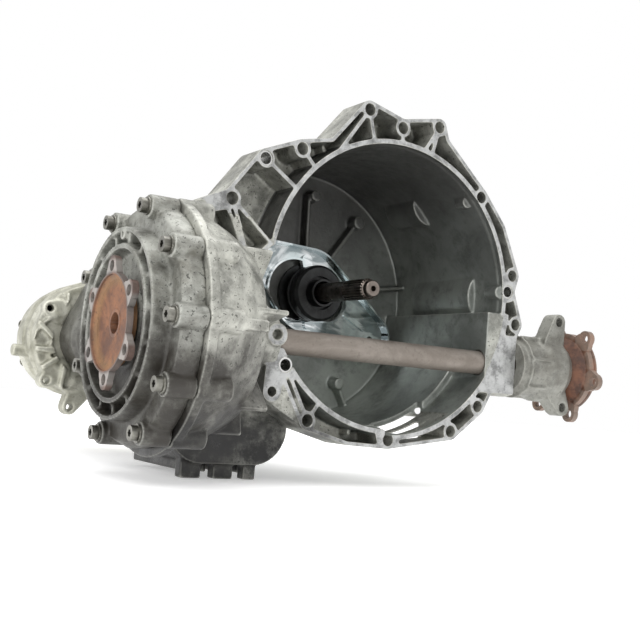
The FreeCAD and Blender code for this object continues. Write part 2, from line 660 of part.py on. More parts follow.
def drum_front():
    """Ribbed front wall of the transfer drum, clear of the gearbox case."""
    start = size("case_end_y")
    shapes = [slab(disc(DRUM[0], DRUM[1], DRUM[2]), start, start + 8.0)]
    hub = (-206.0, -88.0)
    for degrees in (95.0, 140.0, 178.0, 215.0, 262.0, 305.0):
        angle = math.radians(degrees)
        end = (hub[0] + 74.0 * math.cos(angle), hub[1] + 74.0 * math.sin(angle))
        shapes.append(slab(link(hub, 4.0, end, 2.2), start - 9.0, start + 2.0))
    for radius in (24.0, 48.0):
        ring = slab(disc(hub[0], hub[1], radius + 2.0), start - 5.0, start + 2.0)
        shapes.append(ring.cut(slab(disc(hub[0], hub[1], radius - 2.0), start - 6.0, start + 3.0)))
    shapes.append(slab(disc(hub[0], hub[1], 12.0), start - 12.0, start + 2.0))
    drum = slab(disc(DRUM[0], DRUM[1], DRUM[2] + 0.5), start - 14.0, start + 9.0)
    front = joined(shapes).common(drum)
    case = belt(CASE_PATH, 8.5, start - 20.0, start)
    way_in = belt(CASE_PATH, -9.0, start - 1.0, start + 9.0)
    return front.cut([case, way_in])


def make_rear_housing():
    start = size("case_end_y")
    end = size("rear_end_y")
    wall = size("case_wall")
    rear_wall_y = end - size("rear_wall")
    shapes = [belt(REAR_PATH, 0.0, start, end), belt(CASE_PATH, 0.0, start, start + 10.0), drum_front()]
    for y in (438.0, 462.0):
        shapes.append(belt(REAR_PATH, 3.0, y, y + 5.0))
    shapes.append(rod(8.0, 30.0, (-268.0, 452.0, -90.0), X_AXIS))
    for ear, foot in DRUM_EARS:
        shapes.append(slab(link(ear, 10.0, foot, 16.0), start - 4.0, start + 16.0))
    room = belt(REAR_PATH, -wall, start + 8.0, rear_wall_y)
    way_in = belt(CASE_PATH, -wall - 1.0, start - 1.0, start + 9.0)
    body = joined(shapes).cut(joined([room, way_in]))
    posts = []
    bores = []
    for axis in ((0.0, 0.0, 0.0), OUTPUT_AXIS, SIDE_AXIS):
        posts.append(slab(disc(axis[0], axis[2], 38.0), rear_wall_y - 22.0, rear_wall_y + 1.0))
        bores.append(slab(disc(axis[0], axis[2], 31.0), rear_wall_y - 23.0, rear_wall_y - 6.0))
    body = joined([body] + posts)
    body = body.cut(belt(CASE_PATH, 0.3, start - 20.0, start))
    for ear, _ in DRUM_EARS:
        bores.append(slab(disc(*ear, 4.5), start - 6.0, start + 18.0))
    for x, z in REAR_BOLTS:
        bores.append(slab(disc(x, z, 3.5), end - 8.0, end + 1.0))
    shaped("rear_housing", body.cut(bores).removeSplitter())


def make_rear_cover():
    end = size("rear_end_y")
    plate = joined([belt(REAR_PATH, -1.0, end, end + 6.0), belt(REAR_PATH, -18.0, end, end + 12.0)])
    ribs = []
    within = belt(REAR_PATH, -22.0, end, end + 20.0)
    for x in (-220.0, -184.0, -148.0, -112.0, -76.0, -40.0):
        ribs.append(box((x - 2.0, end, -160.0), (x + 2.0, end + 17.0, 60.0)).common(within))
    plate = joined([plate] + ribs)
    holes = [slab(disc(x, z, 3.5), end - 1.0, end + 13.0) for x, z in REAR_BOLTS]
    shaped("rear_cover", plate.cut(holes))


def bolt(radius, length, head_radius, head_height, socket_radius):
    """Socket-head flange bolt along +Y with its head at negative Y."""
    body = joined([
        rod(radius, length + 0.5, (0, -0.5, 0)),
        rod(head_radius + 1.6, 1.8, (0, -1.8, 0)),
        rod(head_radius, head_height, (0, -head_height, 0)),
    ])
    lobes = [rod(socket_radius, 5.0, (0, -head_height - 1.0, 0))]
    for index in range(6):
        angle = math.radians(60.0 * index)
        spot = (socket_radius * math.cos(angle), -head_height - 1.0, socket_radius * math.sin(angle))
        lobes.append(rod(socket_radius * 0.3, 5.0, spot))
    return body.cut(joined(lobes))


def bolt_group(label, places, into, radius, length, head_radius=6.6, head_height=8.0):
    """Identical bolts in one node, each pointing along into."""
    master = bolt(radius, length, head_radius, head_height, head_radius * 0.42)
    turn = FreeCAD.Rotation(Y_AXIS, into)
    copies = []
    for place in places:
        copy = master.copy()
        copy.Placement = FreeCAD.Placement(FreeCAD.Vector(*place), turn)
        copies.append(copy)
    shaped(label, Part.makeCompound(copies))


def plug(label, centre, direction, radius):
    """Hexagon-socket screw plug with its face outward along direction."""
    body = joined([rod(radius, 16.0, (0, 0, 0)), rod(radius + 3.5, 4.0, (0, -4.0, 0))])
    corners = []
    for index in range(6):
        angle = math.radians(60.0 * index)
        corners.append((5.0 * math.cos(angle), 5.0 * math.sin(angle)))
    body = body.cut(slab(polygon(corners), -5.0, 4.0))
    body.Placement = FreeCAD.Placement(FreeCAD.Vector(*centre), FreeCAD.Rotation(Y_AXIS, -direction))
    shaped(label, body)


# ---------------------------------------------------------------- differential cover

def make_differential_cover():
    seat = size("cover_seat_x")
    plate_x = size("cover_plate_x")
    ring_x = size("cover_ring_x")
    outer = size("outer_ring_radius")
    lip = size("lip_ring_radius")
    wall = size("ring_wall")
    body = turned(DRIVE_AXIS, "X", [
        (seat, 32), (seat, 112), (plate_x + 8, 112), (plate_x, 108), (plate_x, outer + 1),
        (ring_x, outer), (ring_x, outer - 4), (plate_x - 2, outer - 5), (plate_x - 2, lip + 1),
        (ring_x, lip), (ring_x, lip - wall), (plate_x - 3, lip - wall - 1), (plate_x - 3, 37),
        (plate_x - 8, 36), (plate_x - 8, 30), (plate_x, 30), (plate_x, 24), (plate_x + 3, 24),
        (plate_x + 3, 32)])
    shapes = [body]
    for degrees in COVER_BOLT_ANGLES:
        y, z = on_drive_circle(size("cover_bolt_circle"), degrees)
        shapes.append(rod(size("cover_boss_radius"), 28.0, (seat - 28.0, y, z), X_AXIS))
    for degrees in range(8, 360, 24):
        rib = box((plate_x - 14.0, -1.8, lip - 2.0), (plate_x + 2.0, 1.8, outer - 1.0))
        rib.rotate(FreeCAD.Vector(0, 0, 0), X_AXIS, degrees)
        rib.translate(FreeCAD.Vector(0, DRIVE_AXIS[1], DRIVE_AXIS[2]))
        shapes.append(rib)
    tube_y, tube_z = on_drive_circle(81.0, 3.3)
    shapes.append(rod(5.0, 20.0, (ring_x - 1.0, tube_y, tube_z), X_AXIS))
    body = joined(shapes)
    cuts = [rod(2.6, 12.0, (ring_x - 2.0, tube_y, tube_z), X_AXIS)]
    for degrees in COVER_BOLT_ANGLES:
        y, z = on_drive_circle(size("cover_bolt_circle"), degrees)
        cuts.append(rod(size("cover_bolt_radius"), 32.0, (seat - 30.0, y, z), X_AXIS))
    keep_clear = rod(32.0, 21.0, (plate_x + 3.0, DRIVE_AXIS[1], DRIVE_AXIS[2]), X_AXIS)
    shaped("differential_cover", body.cut(cuts + [keep_clear]).removeSplitter())


# ---------------------------------------------------------------- right bracket

def make_right_bracket():
    seat = size("bracket_seat_x")
    end = size("bracket_end_x")
    _, y, z = DRIVE_AXIS
    shapes = [turned(DRIVE_AXIS, "X", [
        (seat, 0), (seat, 31), (seat + 7, 31), (seat + 9, 37), (seat + 14, 33), (seat + 32, 33),
        (seat + 42, 38), (end - 12, 38), (end, 31), (end, 0)])]
    shapes.append(slab(link((226.0, -40.0), 15.0, (232.0, -14.0), 9.5), y - 24.0, y - 4.0))
    shapes.append(slab(link((232.0, -92.0), 15.0, (245.0, -112.0), 10.0), y - 24.0, y - 4.0))
    for degrees in (20.0, 75.0, 130.0, 200.0, 270.0, 320.0):
        rib = box((seat + 9.5, -2.0, 24.0), (end - 10.0, 2.0, 37.5))
        rib.rotate(FreeCAD.Vector(0, 0, 0), X_AXIS, degrees)
        rib.translate(FreeCAD.Vector(0, y, z))
        shapes.append(rib)
    body = joined(shapes)
    cuts = [rod(16.0, end - seat + 2.0, (seat - 1.0, y, z), X_AXIS)]
    cuts.append(rod(24.0, 21.0, (end - 20.0, y, z), X_AXIS))
    cuts.append(slab(disc(232.0, -14.0, 5.2), y - 30.0, y))
    cuts.append(slab(disc(245.0, -112.0, 5.2), y - 30.0, y))
    shaped("right_bracket", body.cut(cuts).removeSplitter())


# ---------------------------------------------------------------- clutch release

PIVOT = (size("pivot_x"), 188.3, size("pivot_z"))
LEVER_PATH = [(-52.0, 30.0, 27.0), (-2.0, 4.0, 51.0), (93.0, -42.0, 26.0), (64.0, -50.0, 23.0)]
BALL_RADIUS = 9.0


def make_release_lever():
    front = size("lever_front_y")
    sheet_y = front + 3.0
    back = sheet_y + size("lever_sheet")
    rim_y = back - size("lever_rim") - 1.0
    rim = belt(LEVER_PATH, 0.0, rim_y, back).cut(belt(LEVER_PATH, -2.2, rim_y - 1.0, sheet_y))
    opening = slab(link((-20.0, 4.0), 35.0, (28.0, -6.0), 24.0), rim_y - 1.0, back + 1.0)
    collar = slab(link((-20.0, 4.0), 37.2, (28.0, -6.0), 26.2), sheet_y - 3.0, back)
    body = joined([rim, collar]).cut(opening)
    tabs = [slab(link((-2.0, 20.0), 5.0, (-6.0, 40.0), 7.0), front, back),
            slab(link((2.0, -20.0), 5.0, (4.0, -36.0), 7.0), front, back)]
    dome = Part.makeSphere(BALL_RADIUS + 3.4, FreeCAD.Vector(*PIVOT))
    dome = dome.common(box((-200.0, 160.0, -100.0), (100.0, sheet_y + 1.0, 100.0)))
    swage = [slab(link((54.0, -18.0), 3.0, (84.0, -34.0), 3.0), sheet_y - 2.5, back)]
    body = joined([body] + tabs + [dome] + swage)
    room = [Part.makeSphere(BALL_RADIUS + 0.35, FreeCAD.Vector(*PIVOT))]
    room.append(rod(18.5, 40.0, (0, front - 20.0, 0)))
    room.append(slab(disc(94.0, -46.0, 4.5), rim_y - 1.0, back + 1.0))
    shaped("release_lever", body.cut(room).removeSplitter())


def make_ball_stud():
    ball = Part.makeSphere(BALL_RADIUS, FreeCAD.Vector(*PIVOT))
    stem = rod(5.0, size("bell_depth") - PIVOT[1], PIVOT)
    in_bell = box((-200, 100, -100), (100, size("bell_depth"), 100))
    shaped("lever_ball_stud", joined([ball, stem]).common(in_bell))


def make_input_shaft():
    """Input shaft with its pilot, splines and journals, in one piece with first and reverse gears."""
    tip = size("input_tip_y")
    neck = size("shaft_neck_radius")
    journal = size("input_journal_radius")
    rear = size("rear_end_y") - size("rear_wall") - 8.0
    pilot = size("input_tip_radius")
    spline = size("spline_radius")
    shaft = turned((0, 0, 0), "Y", [
        (tip, 0), (tip, pilot - 1.0), (tip + 1.0, pilot), (tip + 7.0, pilot), (tip + 9.0, spline),
        (size("spline_end_y"), spline), (size("spline_end_y") + 2.0, neck), (BACK_Y - 4.0, neck),
        (BACK_Y, journal), (rear, journal), (rear, 0)])
    cuts = [rod(3.2, 9.0, (0, tip - 1.0, 0))]
    root = size("spline_root_radius")
    for index in range(22):
        groove = box((root, tip + 7.0, -0.85), (spline + 1.0, size("spline_end_y"), 0.85))
        groove.rotate(FreeCAD.Vector(0, 0, 0), Y_AXIS, 360.0 / 22 * index)
        cuts.append(groove)
    return shaft.cut(cuts)


# ---------------------------------------------------------------- gear train

MODULE = size("gear_module")
TO_OUTPUT = direction_to((0, 0, 0), OUTPUT_AXIS)
GROUP_PITCH = 2 * size("gear_width") + size("gear_gap") + size("group_space")


def gear_y(index):
    """Front face of a pair's gears; index 6 is reverse."""
    group, place = divmod(index, 2)
    return size("first_gear_y") + group * GROUP_PITCH + place * (size("gear_width") + size("gear_gap"))


def group_centre(group):
    return gear_y(2 * group) + size("gear_width") + size("gear_gap") / 2.0


def loose_gear(teeth, phase, low_y, dog_side):
    """Gear that runs loose on the output shaft, with its dog ring on one side."""
    width = size("gear_width")
    gear = spur_gear(teeth, MODULE, phase, OUTPUT_AXIS, low_y, width)
    reach = size("gear_gap") / 2.0 - size("hub_width") / 2.0 - 0.5
    dog_y = low_y + width if dog_side > 0 else low_y - reach
    dog = rod(size("dog_radius"), reach, (OUTPUT_AXIS[0], dog_y, OUTPUT_AXIS[2]))
    bore = rod(size("output_radius") + 0.05, 60.0, (OUTPUT_AXIS[0], low_y - 20.0, OUTPUT_AXIS[2]))
    return gear.fuse(dog).removeSplitter().cut(bore)


def idler_place():
    """Axis of the reverse idler, which meshes with the input and the output gear."""
    first = MODULE * (REVERSE_TEETH[0] + REVERSE_TEETH[1]) / 2.0
    second = MODULE * (REVERSE_TEETH[1] + REVERSE_TEETH[2]) / 2.0
    distance = size("shaft_distance")
    along = (first ** 2 - second ** 2 + distance ** 2) / (2 * distance)
    aside = math.sqrt(first ** 2 - along ** 2)
    x = along * math.cos(TO_OUTPUT) - aside * math.sin(TO_OUTPUT)
    z = along * math.sin(TO_OUTPUT) + aside * math.cos(TO_OUTPUT)
    return x, 0.0, z


def make_gears():
    gears = [make_input_shaft()]
    width = size("gear_width")
    for index, (driving, driven) in enumerate(PAIRS):
        low = gear_y(index)
        fixed = spur_gear(driving, MODULE, TO_OUTPUT, (0, 0, 0), low, width)
        bore = rod(size("input_journal_radius"), 60.0, (0, low - 20.0, 0))
        if index == 0:
            gears[0] = gears[0].fuse(fixed)
        else:
            gears.append(fixed.cut(bore))
        phase = meshed_phase(TO_OUTPUT, driving, TO_OUTPUT, driven)
        side = 1 if index % 2 == 0 else -1
        shaped("%s_gear" % GEAR_NAMES[index], loose_gear(driven, phase, low, side))
    low = gear_y(6)
    idler = idler_place()
    to_idler = direction_to((0, 0, 0), idler)
    reverse_input = spur_gear(REVERSE_TEETH[0], MODULE, to_idler, (0, 0, 0), low, width)
    idler_phase = meshed_phase(to_idler, REVERSE_TEETH[0], to_idler, REVERSE_TEETH[1])
    idler_gear = spur_gear(REVERSE_TEETH[1], MODULE, idler_phase, idler, low, width)
    onward = direction_to(idler, OUTPUT_AXIS)
    output_phase = meshed_phase(idler_phase, REVERSE_TEETH[1], onward, REVERSE_TEETH[2])
    shaped("input_shaft", gears[0].fuse(reverse_input).removeSplitter())
    shaped("input_gears", Part.makeCompound(gears[1:]))
    pin_radius = 9.0
    pin_bore = rod(pin_radius + 0.05, 60.0, (idler[0], low - 20.0, idler[2]))
    shaped("reverse_idler", idler_gear.cut(pin_bore))
    bracket_y = low + width + 4.0
    foot = (idler[0] + 13.0, idler[2] - 16.5)
    arm = slab(link((idler[0], idler[2]), 12.0, foot, 8.5), bracket_y, bracket_y + 10.0)
    shaped("idler_pin", rod(pin_radius, bracket_y + 10.0 - low, (idler[0], low, idler[2])).fuse(arm))
    shaped("reverse_gear", loose_gear(REVERSE_TEETH[2], output_phase, low, 1))


def make_output_train():
    start = BACK_Y + 1.0
    end = size("rear_end_y") - size("rear_wall") - 8.0
    radius = cell("output_radius")
    turned_body("output_shaft", "Y", (OUTPUT_AXIS[0], start, OUTPUT_AXIS[2]), [
        (0, 0), (0, radius - 1), (1, radius), (end - start - 1, radius),
        (end - start, radius - 1), (end - start, 0)])
    hubs = []
    half = size("hub_width") / 2.0
    for group in range(len(GROUP_NAMES)):
        centre = group_centre(group)
        hub = rod(size("hub_radius"), 2 * half, (OUTPUT_AXIS[0], centre - half, OUTPUT_AXIS[2]))
        shaft_bore = rod(size("output_radius"), 40.0, (OUTPUT_AXIS[0], centre - 20.0, OUTPUT_AXIS[2]))
        hubs.append(hub.cut(shaft_bore))
    shaped("synchro_hubs", Part.makeCompound(hubs))
    width = cell("sleeve_width")
    for group, name in enumerate(GROUP_NAMES):
        low = group_centre(group) - size("sleeve_width") / 2.0
        bore = cell("sleeve_bore")
        outer = cell("sleeve_radius")
        middle = size("sleeve_width") / 2.0
        half_groove = size("groove_width") / 2.0
        turned_body("sleeve_" + name, "Y", (OUTPUT_AXIS[0], low, OUTPUT_AXIS[2]), [
            (0, bore), (width, bore), (width, outer), (middle + half_groove, outer),
            (middle + half_groove, cell("groove_radius")), (middle - half_groove, cell("groove_radius")),
            (middle - half_groove, outer), (0, outer)])
        make_fork(group, name)
    to_side = direction_to(OUTPUT_AXIS, SIDE_AXIS)
    module = size("transfer_module")
    low = size("transfer_y")
    drive = spur_gear(TRANSFER_TEETH[0], module, to_side, OUTPUT_AXIS, low, size("transfer_width"))
    output_bore = rod(size("output_radius"), 80.0, (OUTPUT_AXIS[0], low - 20.0, OUTPUT_AXIS[2]))
    shaped("transfer_drive_gear", drive.cut(output_bore))
    phase = meshed_phase(to_side, TRANSFER_TEETH[0], to_side, TRANSFER_TEETH[1])
    driven = spur_gear(TRANSFER_TEETH[1], module, phase, SIDE_AXIS, low, size("transfer_width"))
    side_bore = rod(size("side_shaft_radius"), 80.0, (SIDE_AXIS[0], low - 20.0, SIDE_AXIS[2]))
    shaped("transfer_driven_gear", driven.cut(side_bore))


def make_fork(group, name):
    """Shift fork on its rail, its claw in the sleeve's groove."""
    x, z = rail_place(group)
    centre = group_centre(group)
    half = size("fork_thickness") / 2.0
    low = centre - half
    high = centre + half
    angle = math.radians(RAIL_ANGLES[group])
    claw = slab(disc(OUTPUT_AXIS[0], OUTPUT_AXIS[2], 46.0), low, high)
    arm_end = (OUTPUT_AXIS[0] + 40.0 * math.cos(angle), OUTPUT_AXIS[2] + 40.0 * math.sin(angle))
    arm = slab(link((x, z), 9.0, arm_end, 9.0), low, high)
    space = slab(disc(OUTPUT_AXIS[0], OUTPUT_AXIS[2], size("groove_radius") + 0.3), low - 1, high + 1)
    away = box((-120.0, low - 1.0, -130.0), (120.0, high + 1.0, 0.0))
    away.rotate(FreeCAD.Vector(0, 0, 0), Y_AXIS, 90.0 - RAIL_ANGLES[group])
    away.translate(FreeCAD.Vector(OUTPUT_AXIS[0], 0, OUTPUT_AXIS[2]))
    rail = rod(size("rail_radius"), 218.0, (x, 213.0, z))
    boss = rod(9.0, 20.0, (x, centre - 10.0, z))
    fork = joined([claw, arm]).cut([space, away])
    shaped("fork_" + name, joined([fork, boss, rail]))


def make_final_drive():
    teeth, ring_teeth = FINAL_TEETH
    pinion_radius = size("pinion_radius")
    ring_radius = pinion_radius * ring_teeth / teeth
    pinion_cone = math.atan2(pinion_radius, ring_radius)
    ring_cone = math.pi / 2 - pinion_cone
    face = size("pinion_face")
    apex = (SIDE_AXIS[0], DRIVE_AXIS[1], DRIVE_AXIS[2])
    pinion = bevel_gear(teeth, pinion_radius, pinion_cone, face, 0.5, 0.0, 4.0)
    pinion = aimed(pinion, apex, Y_AXIS, -X_AXIS)
    shaft_start = DRIVE_AXIS[1] + ring_radius + 4.0
    end = size("rear_end_y") - size("rear_wall") - 8.0
    shaft = rod(size("side_shaft_radius"), end - shaft_start, (SIDE_AXIS[0], shaft_start, SIDE_AXIS[2]))
    shaped("side_shaft", pinion.fuse(shaft))
    ring = bevel_gear(ring_teeth, ring_radius, ring_cone, face, 0.5, math.pi / ring_teeth, 8.0)
    ring = aimed(ring, apex, -X_AXIS, Y_AXIS)
    shaped("ring_gear", ring.cut(rod(50.0, 120.0, (-280.0, DRIVE_AXIS[1], DRIVE_AXIS[2]), X_AXIS)))
    ring_back = ring.BoundBox.XMin
    make_differential(ring_back)


DIFF_CENTRE = (-223.0, DRIVE_AXIS[1], DRIVE_AXIS[2])
SPIDER_RADIUS = 15.0
CROSS_PIN_RADIUS = 6.0


def make_differential(ring_back):
    _, y, z = DRIVE_AXIS
    cage = turned(DRIVE_AXIS, "X", [
        (-278, 14.3), (-278, 20), (-262, 20), (-258, 43), (ring_back - 7, 43), (ring_back - 7, 76),
        (ring_back, 76), (ring_back, 50), (-192, 43), (-186, 20), (-170, 20), (-170, 14.3),
        (-198, 14.3), (-198, 33), (-248, 33), (-248, 14.3)])
    window = box((-241.0, y - 60.0, z - 18.0), (-205.0, y + 60.0, z + 18.0))
    pin_hole = rod(CROSS_PIN_RADIUS, 90.0, (DIFF_CENTRE[0], y, z - 45.0), Z_AXIS)
    shaped("differential_case", cage.cut([window, pin_hole]))
    shaped("cross_pin", rod(CROSS_PIN_RADIUS, 84.0, (DIFF_CENTRE[0], y, z - 42.0), Z_AXIS))
    spider_teeth, side_teeth = DIFFERENTIAL_TEETH
    side_radius = SPIDER_RADIUS * side_teeth / spider_teeth
    spider_cone = math.atan2(SPIDER_RADIUS, side_radius)
    side_cone = math.pi / 2 - spider_cone
    for label, direction in (("upper_spider_gear", Z_AXIS), ("lower_spider_gear", -Z_AXIS)):
        gear = bevel_gear(spider_teeth, SPIDER_RADIUS, spider_cone, 8.5, 0.4, 0.0, 2.5)
        gear = aimed(gear, DIFF_CENTRE, direction, X_AXIS)
        gear_bore = rod(CROSS_PIN_RADIUS + 0.05, 90.0, (DIFF_CENTRE[0], y, z - 45.0), Z_AXIS)
        shaped(label, gear.cut(gear_bore))
    make_drive_flanges(side_teeth, side_radius, side_cone)


def star_plate(low_x, high_x, phase):
    """Six-lobed flange plate with its bolt holes."""
    _, y, z = DRIVE_AXIS
    radius = size("flange_bolt_radius")
    lobe = size("flange_lobe_radius")
    width = high_x - low_x
    shapes = [rod(46.0, width, (low_x, y, z), X_AXIS)]
    holes = []
    for index in range(6):
        lobe_y, lobe_z = on_drive_circle(radius, phase + 60.0 * index)
        shapes.append(rod(lobe, width, (low_x, lobe_y, lobe_z), X_AXIS))
        near_y, near_z = on_drive_circle(radius - 8.0, phase + 60.0 * index)
        shapes.append(rod(lobe + 3.0, width, (low_x, near_y, near_z), X_AXIS))
        holes.append(rod(size("flange_hole_radius"), 40.0, (low_x - 15.0, lobe_y, lobe_z), X_AXIS))
    return joined(shapes), holes


def make_drive_flanges(side_teeth, side_radius, side_cone):
    _, y, z = DRIVE_AXIS
    thickness = size("flange_thickness")
    face_x = size("left_flange_x")
    gear = bevel_gear(side_teeth, side_radius, side_cone, 8.5, 0.4, math.pi / side_teeth, 4.0)
    left_gear = aimed(gear.copy(), DIFF_CENTRE, -X_AXIS, Z_AXIS)
    right_gear = aimed(gear.copy(), DIFF_CENTRE, X_AXIS, Z_AXIS)
    shaped("left_side_gear", left_gear.cut(rod(14.0, 60.0, (-270.0, y, z), X_AXIS)))
    shaped("right_side_gear", right_gear.cut(rod(14.0, 60.0, (-217.0, y, z), X_AXIS)))
    plate, holes = star_plate(face_x, face_x + thickness, -1.6)
    dish = size("dish_radius")
    seal_end = size("cover_plate_x") + 0.5
    hub = turned(DRIVE_AXIS, "X", [
        (face_x, 0), (face_x, 46), (face_x + 12, 40), (face_x + 14, 18),
        (seal_end, 18), (seal_end, 14), (-236, 14), (-236, 0)])
    hollow = turned(DRIVE_AXIS, "X", [
        (face_x - 1, 0), (face_x - 1, dish + 0.5), (face_x + 2, dish), (face_x + 5, dish - 4),
        (face_x + 7, 14), (face_x + 6.4, 12.5), (face_x + 6.4, 10), (face_x + 22, 10), (face_x + 22, 0)])
    shaped("left_flange", joined([plate, hub]).cut([hollow] + holes).removeSplitter())
    face_x = size("right_flange_x")
    plate, holes = star_plate(face_x, face_x + thickness + 1, 42.0)
    root = cell("right_flange_x") - 10.0
    shaft_start = -211.0
    shaft_end = root - shaft_start
    tube = cell("tube_radius")
    turned_body("cross_shaft", "X", (shaft_start, y, z), [
        (0, 0), (shaft_end, 0), (shaft_end, tube), (0, tube)])
    hub = turned(DRIVE_AXIS, "X", [
        (face_x - 10, 0), (face_x - 10, 25), (face_x - 9, 27), (face_x, 40), (face_x + 12, 46),
        (face_x + 12, 34), (face_x + 8, 30), (face_x + 8, 0)])
    shaped("right_flange", joined([plate, hub]).cut(holes).removeSplitter())


# ---------------------------------------------------------------- bearings, seals and sleeves

def make_rings():
    width = cell("bearing_width")
    play = size("bearing_play")
    rear_y = size("rear_end_y") - size("rear_wall") - 22.0
    input_bore = cell("input_journal_radius") + play
    output_bore = cell("output_radius") + play
    side_bore = cell("side_shaft_radius") + play
    ring_body("input_front_bearing", "Y", (0, BACK_Y, 0), width, 31.0, input_bore)
    ring_body("input_rear_bearing", "Y", (0, rear_y, 0), width, 31.0, input_bore)
    for label, start in (("output_front_bearing", BACK_Y), ("output_rear_bearing", rear_y)):
        ring_body(label, "Y", (OUTPUT_AXIS[0], start, OUTPUT_AXIS[2]), width, 31.0, output_bore)
    ring_body("pinion_bearing", "Y", (SIDE_AXIS[0], 120.0, SIDE_AXIS[2]), 26.0, 34.0, side_bore)
    ring_body("side_rear_bearing", "Y", (SIDE_AXIS[0], rear_y, SIDE_AXIS[2]), width, 31.0, side_bore)
    _, y, z = DRIVE_AXIS
    ring_body("left_differential_bearing", "X", (-280.0, y, z), 16.0, 32.0, 20.05)
    ring_body("right_differential_bearing", "X", (-184.0, y, z), 14.0, 32.0, 20.05)
    plate_x = size("cover_plate_x")
    ring_body("left_seal", "X", (plate_x - 8.0, y, z), 8.0, 30.0, 18.1)
    tube_bore = cell("tube_radius") + 0.08
    ring_body("right_bearing", "X", (size("bracket_end_x") - 20.0, y, z), 13.0, 24.0, tube_bore)
    ring_body("right_seal", "X", (size("bracket_end_x") - 7.0, y, z), 7.0, 24.0, tube_bore)
    guide = cell("sleeve_guide_radius")
    front = size("guide_front_y")
    seat = size("bell_depth") - 8.0
    turned_body("guide_sleeve", "Y", (0, front, 0), [
        (0, guide - 2.4), (seat - front, guide - 2.4), (seat - front, 36), (seat - front - 5, 36),
        (seat - front - 6, guide), (0, guide)])
    release_front = size("release_front_y")
    outer = cell("release_radius")
    bore = guide + 0.08
    turned_body("release_bearing", "Y", (0, release_front, 0), [
        (0, bore + 4), (6, bore + 4), (6, bore), (23, bore), (23, outer - 1), (20, outer - 1),
        (19, outer - 4), (14, outer - 4), (13, outer), (3, outer), (0, outer - 3)])
    grouped("shaft_seals", ["left_seal", "right_seal"])
    grouped("input_bearings", ["input_front_bearing", "input_rear_bearing"])
    grouped("output_bearings", ["output_front_bearing", "output_rear_bearing"])
    grouped("differential_bearings", ["left_differential_bearing", "right_differential_bearing"])


def make_dowels():
    sleeves = []
    for index in DOWEL_BOSSES:
        x, z = BOSSES[index]
        ring = slab(disc(x, z, size("dowel_hole_radius")), 1.0, 20.0)
        sleeves.append(ring.cut(slab(disc(x, z, size("bolt_hole_radius") - 0.6), 0.0, 21.0)))
    shaped("dowel_sleeves", Part.makeCompound(sleeves))


def make_shift_lever():
    """Selector shaft through the top of the case with its lever outside and finger inside."""
    x, y = -90.0, 309.0
    shaped("selector_shaft", rod(8.0, 62.0, (x, y, 38.0), Z_AXIS))
    lever = joined([rod(12.0, 10.0, (x, y, 86.0), Z_AXIS),
                    box((x, y - 7.0, 88.0), (x + 62.0, y + 7.0, 94.0)),
                    rod(10.0, 6.0, (x + 62.0, y, 88.0), Z_AXIS),
                    rod(5.0, 14.0, (x + 62.0, y, 92.0), Z_AXIS)])
    shaped("shift_lever", lever.cut(rod(8.0, 40.0, (x, y, 80.0), Z_AXIS)))


def cover_bolt_places():
    places = []
    for degrees in COVER_BOLT_ANGLES:
        y, z = on_drive_circle(size("cover_bolt_circle"), degrees)
        places.append((size("cover_seat_x") - 28.0, y, z))
    return places


def make_fasteners():
    bolt_group("cover_bolts", cover_bolt_places(), X_AXIS, size("cover_bolt_radius"), 44.0, 6.8, 8.0)
    case_places = [(x, BACK_Y + 14.0, z) for x, z in CASE_BOLTS]
    bolt_group("case_bolts", case_places, -Y_AXIS, 4.0, 14.0)
    rear_places = [(x, size("rear_end_y") + 6.0, z) for x, z in REAR_BOLTS]
    bolt_group("rear_bolts", rear_places, -Y_AXIS, 3.5, 12.0, 5.6, 6.0)
    plug("drain_plug", (-80.0, 330.0, -150.0), -Z_AXIS, 11.0)
    plug("filler_plug", (66.0, 311.0, 0.0), X_AXIS, 11.0)


make_clutch_housing()
make_gearbox_case()
make_rear_housing()
make_rear_cover()
make_differential_cover()
make_right_bracket()
make_release_lever()
make_ball_stud()
make_gears()
make_output_train()
make_final_drive()
make_rings()
make_dowels()
make_shift_lever()
make_fasteners()
doc.recompute()

for item in doc.Objects:
    if "Invalid" in item.State or "Error" in item.State:
        raise RuntimeError("object %s failed: %s" % (item.Name, item.State))
for label, item in nodes.items():
    if item.Shape.isNull() or not item.Shape.isValid():
        raise RuntimeError("shape of %s is not valid" % label)
os.makedirs("parts", exist_ok=True)
for label, item in nodes.items():
    item.Shape.exportStep("parts/%s.step" % label)
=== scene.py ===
import json
import math

import bpy
import numpy as np
from mathutils import Matrix, Vector


